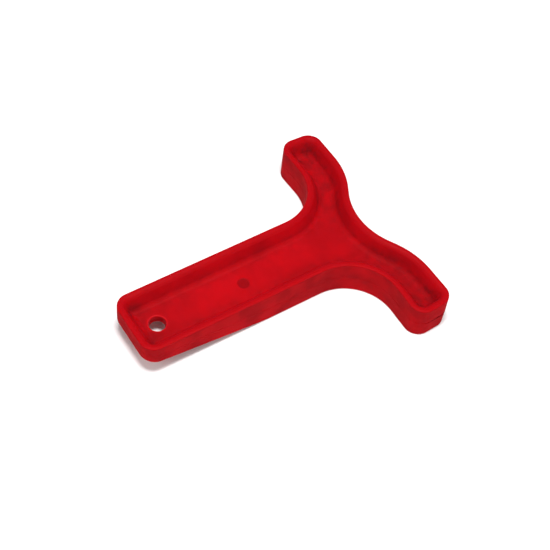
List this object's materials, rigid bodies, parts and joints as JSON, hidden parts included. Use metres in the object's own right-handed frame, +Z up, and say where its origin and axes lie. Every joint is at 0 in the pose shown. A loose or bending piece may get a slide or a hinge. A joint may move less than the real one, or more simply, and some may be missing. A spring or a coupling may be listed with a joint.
{
  "type": "fire hydrant wrench",
  "caption": "Flat T-shaped hand wrench for hydrants: red two-shell moulding with a sunk tray inside a raised rim, curved claws, front notch and hanging hole.",
  "frame": {"origin": "middle of the overall box in plan, on the plane that the underside of the head lies on", "axes": "+X along the handle towards the claws, +Z up out of the tray side, +Y to the left claw"},
  "size_m": [0.172, 0.1494, 0.0232],
  "materials": {
    "red_plastic": "satin moulded",
    "core_steel": "laser cut, mill finish",
    "screw_zinc": "bright zinc plate"
  },
  "bodies": {
    "root": {"upper_shell": "red_plastic", "lower_shell": "red_plastic", "core_plate": "core_steel", "screw_handle_end": "screw_zinc", "screw_handle_middle": "screw_zinc", "screw_head": "screw_zinc", "screw_left_claw": "screw_zinc", "screw_right_claw": "screw_zinc"}
  },
  "joints": []
}
